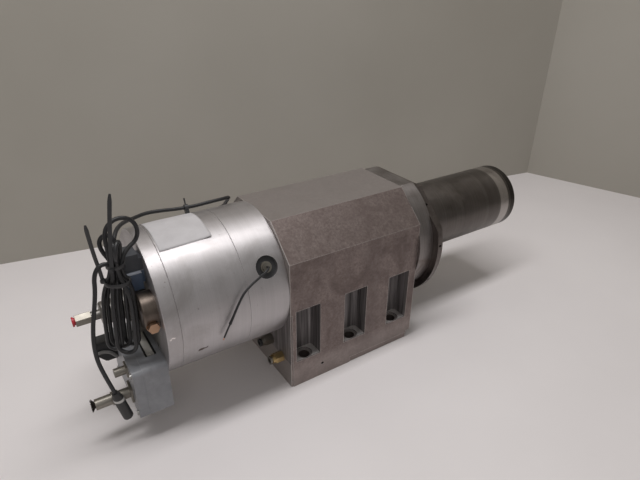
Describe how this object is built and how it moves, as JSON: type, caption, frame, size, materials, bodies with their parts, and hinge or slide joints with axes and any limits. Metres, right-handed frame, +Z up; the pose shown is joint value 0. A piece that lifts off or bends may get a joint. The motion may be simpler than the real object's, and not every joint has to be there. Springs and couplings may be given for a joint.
{
  "type": "motor spindle",
  "caption": "Motor spindle: built-in motor behind a bolted housing block, long nose in front with taper seat, drawbar and bearings, terminal box, connectors and a tied cable.",
  "frame": {"origin": "centre of the housing block's length and width, on its base mounting face", "axes": "+X along the spindle axis towards the nose, +Z up from the base face, -Y towards the side with the lead gland"},
  "size_m": [0.8101, 0.2751, 0.3574],
  "materials": {
    "block_steel": "milled steel, matt, with faint stains",
    "turned_steel": "fine turned steel",
    "dark_steel": "darkened turned steel",
    "nose_grey": "satin dark grey",
    "black_cap": "satin black",
    "black_screws": "blackened",
    "bearing_steel": "ground",
    "bearing_balls": "polished",
    "cage_polymer": "plain",
    "motor_aluminium": "turned, satin",
    "sleeve_aluminium": "turned",
    "cylinder_aluminium": "turned",
    "core_steel": "laminated sheet",
    "winding_resin": "impregnated copper winding",
    "shaft_steel": "ground steel",
    "gripper_steel": "hardened steel",
    "spring_steel": "oiled spring steel",
    "nickel": "nickel plated",
    "brass": "plain",
    "valve_bronze": "dulled nickel-bronze",
    "red_plastic": "gloss",
    "black_plastic": "plain",
    "sensor_plastic": "plain",
    "box_paint": "satin light blue-grey",
    "zinc_screws": "zinc plated",
    "terminal_plastic": "plain",
    "cable_black": "plain",
    "plug_rubber": "plain"
  },
  "bodies": {
    "housing": {"housing_block": "block_steel", "front_flange_ring": "turned_steel", "flange_disc": "dark_steel", "flange_screws": "black_screws", "nose_tube": "nose_grey", "front_bearing_cover": "turned_steel", "nose_cap": "black_cap", "nose_cap_screws": "black_screws", "bearing_outer_rings": "bearing_steel", "motor_front_ring": "motor_aluminium", "motor_tube": "motor_aluminium", "motor_rear_ring": "motor_aluminium", "cooling_sleeve": "sleeve_aluminium", "stator_core": "core_steel", "stator_windings": "winding_resin", "rear_bearing_housing": "turned_steel", "rear_screws": "black_screws", "release_cylinder": "cylinder_aluminium", "rotary_union": "turned_steel", "air_fitting_body": "nickel", "brass_fitting_body": "brass", "nickel_fitting_body": "nickel", "valve_cylinder": "valve_bronze", "hexagon_plug": "brass", "sensor_block": "sensor_plastic", "terminal_box_body": "box_paint", "terminal_box_lid": "box_paint", "lid_screws": "zinc_screws", "slot_strip": "zinc_screws", "terminal_strip": "terminal_plastic", "large_socket": "nickel", "large_plug_shell": "nickel", "small_socket": "nickel", "gland_disc": "black_plastic", "gland_nipple": "nickel", "far_gland": "nickel", "cable_clip": "black_plastic", "zip_ties": "black_plastic", "cable_run": "cable_black", "cable_loop": "cable_black", "cable_hank": "cable_black", "cable_tail": "cable_black", "cable_plug": "plug_rubber", "lead_wire": "cable_black"},
    "spindle": {"spindle_shaft": "shaft_steel", "rotor_core": "core_steel", "shaft_locknuts": "shaft_steel", "drawbar_bush": "brass", "bearing_inner_rings": "bearing_steel", "gripper_fingers": "gripper_steel", "disc_springs": "spring_steel"},
    "ball_sets": {"bearing_balls": "bearing_balls", "bearing_cages": "cage_polymer"},
    "drawbar": {"drawbar": "shaft_steel"},
    "release_piston": {"release_piston": "shaft_steel"},
    "air_collet": {"air_fitting_collet": "red_plastic"},
    "brass_collet": {"brass_fitting_collet": "nickel"},
    "nickel_collet": {"nickel_fitting_collet": "black_plastic"},
    "coupling_nut": {"large_plug_nut": "nickel"}
  },
  "joints": [
    {"name": "spindle_turn", "type": "hinge", "parent": "housing", "child": "spindle", "pos_m": [0, 0, 0.168], "axis": [1, 0, 0], "continuous": true},
    {"name": "ball_sets_turn", "type": "hinge", "parent": "housing", "child": "ball_sets", "pos_m": [0, 0, 0.168], "axis": [1, 0, 0], "continuous": true},
    {"name": "drawbar_release", "type": "slide", "parent": "spindle", "child": "drawbar", "axis": [1, 0, 0], "range_m": [0, 0.008], "stiffness_N_per_m": 20000, "springref_m": -0.01, "deforming": ["disc_springs"]},
    {"name": "piston_stroke", "type": "slide", "parent": "housing", "child": "release_piston", "axis": [1, 0, 0], "range_m": [0, 0.0092]},
    {"name": "air_collet_push", "type": "slide", "parent": "housing", "child": "air_collet", "axis": [1, 0, 0], "range_m": [0, 0.0015], "stiffness_N_per_m": 500, "springref_m": -0.001},
    {"name": "brass_collet_push", "type": "slide", "parent": "housing", "child": "brass_collet", "axis": [1, 0, 0], "range_m": [0, 0.0015], "stiffness_N_per_m": 500, "springref_m": -0.001},
    {"name": "nickel_collet_push", "type": "slide", "parent": "housing", "child": "nickel_collet", "axis": [1, 0, 0], "range_m": [0, 0.0015], "stiffness_N_per_m": 500, "springref_m": -0.001},
    {"name": "coupling_nut_turn", "type": "hinge", "parent": "housing", "child": "coupling_nut", "pos_m": [-0.3635, -0.05, 0.066], "axis": [1, 0, 0], "continuous": true}
  ],
  "couplings": [
    {"joint": "ball_sets_turn", "follows": "spindle_turn", "ratio": 0.44875},
    {"joint": "piston_stroke", "follows": "drawbar_release", "ratio": 1.15}
  ]
}
